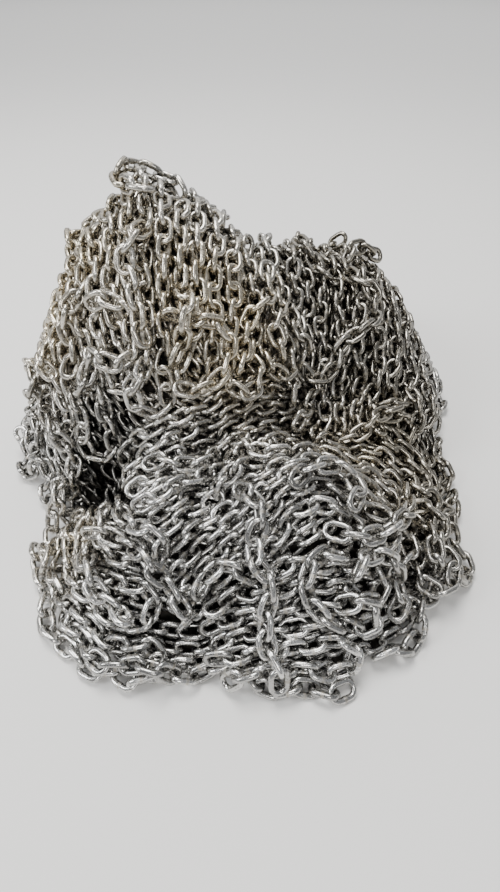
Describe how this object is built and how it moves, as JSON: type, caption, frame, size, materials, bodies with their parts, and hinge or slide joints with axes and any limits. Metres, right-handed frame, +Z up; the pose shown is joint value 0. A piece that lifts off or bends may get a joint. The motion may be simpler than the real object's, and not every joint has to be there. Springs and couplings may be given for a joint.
{
  "type": "heap of lifting chain",
  "caption": "Loose heap of bright steel short-link lifting chain lying on a level floor, a tall pile at the back left and lower mounds in front and at the right.",
  "frame": {"origin": "on the floor, under the middle of the heap's box", "axes": "+Z up, +Y from the low front mound towards the tall pile at the back, +X to the right seen from the front"},
  "size_m": [1.005, 1.1462, 0.5503],
  "materials": {
    "chain_steel": "satin",
    "buried_chain": "satin"
  },
  "bodies": {
    "root": {"heap_core": "buried_chain", "arch_run_1": "chain_steel", "arch_run_2": "chain_steel", "arch_run_3": "chain_steel", "back_loose_run": "chain_steel", "band_run_1": "chain_steel", "band_run_2": "chain_steel", "band_run_3": "chain_steel", "column_run": "chain_steel", "corner_curl": "chain_steel", "crest_curl": "chain_steel", "fall_end_curl": "chain_steel", "falling_curl": "chain_steel", "falling_loose_run_1": "chain_steel", "falling_loose_run_2": "chain_steel", "falling_loose_run_3": "chain_steel", "falling_run_1": "chain_steel", "falling_run_2": "chain_steel", "falling_run_3": "chain_steel", "falling_run_4": "chain_steel", "falling_run_5": "chain_steel", "falling_run_6": "chain_steel", "falling_run_7": "chain_steel", "foot_run_back": "chain_steel", "foot_run_far_right": "chain_steel", "foot_run_front": "chain_steel", "foot_run_left": "chain_steel", "foot_run_near_left": "chain_steel", "foot_run_right": "chain_steel", "front_curl": "chain_steel", "front_run_1": "chain_steel", "front_run_2": "chain_steel", "front_run_3": "chain_steel", "hanging_run": "chain_steel", "loose_run_band": "chain_steel", "loose_run_corner": "chain_steel", "loose_run_left": "chain_steel", "loose_run_middle": "chain_steel", "loose_run_right": "chain_steel", "loose_run_saddle": "chain_steel", "round_run_1": "chain_steel", "round_run_2": "chain_steel", "round_run_3": "chain_steel", "shelf_curl": "chain_steel", "shelf_loose_run_1": "chain_steel", "shelf_loose_run_2": "chain_steel", "shelf_run_1": "chain_steel", "shelf_run_2": "chain_steel", "shelf_run_3": "chain_steel", "shelf_run_4": "chain_steel", "shelf_run_5": "chain_steel", "shelf_side_run_1": "chain_steel", "shoulder_run_1": "chain_steel", "shoulder_run_2": "chain_steel", "summit_curl": "chain_steel", "summit_run_1": "chain_steel", "swirl_run_1": "chain_steel", "swirl_run_2": "chain_steel", "swirl_run_3": "chain_steel"}
  },
  "joints": []
}
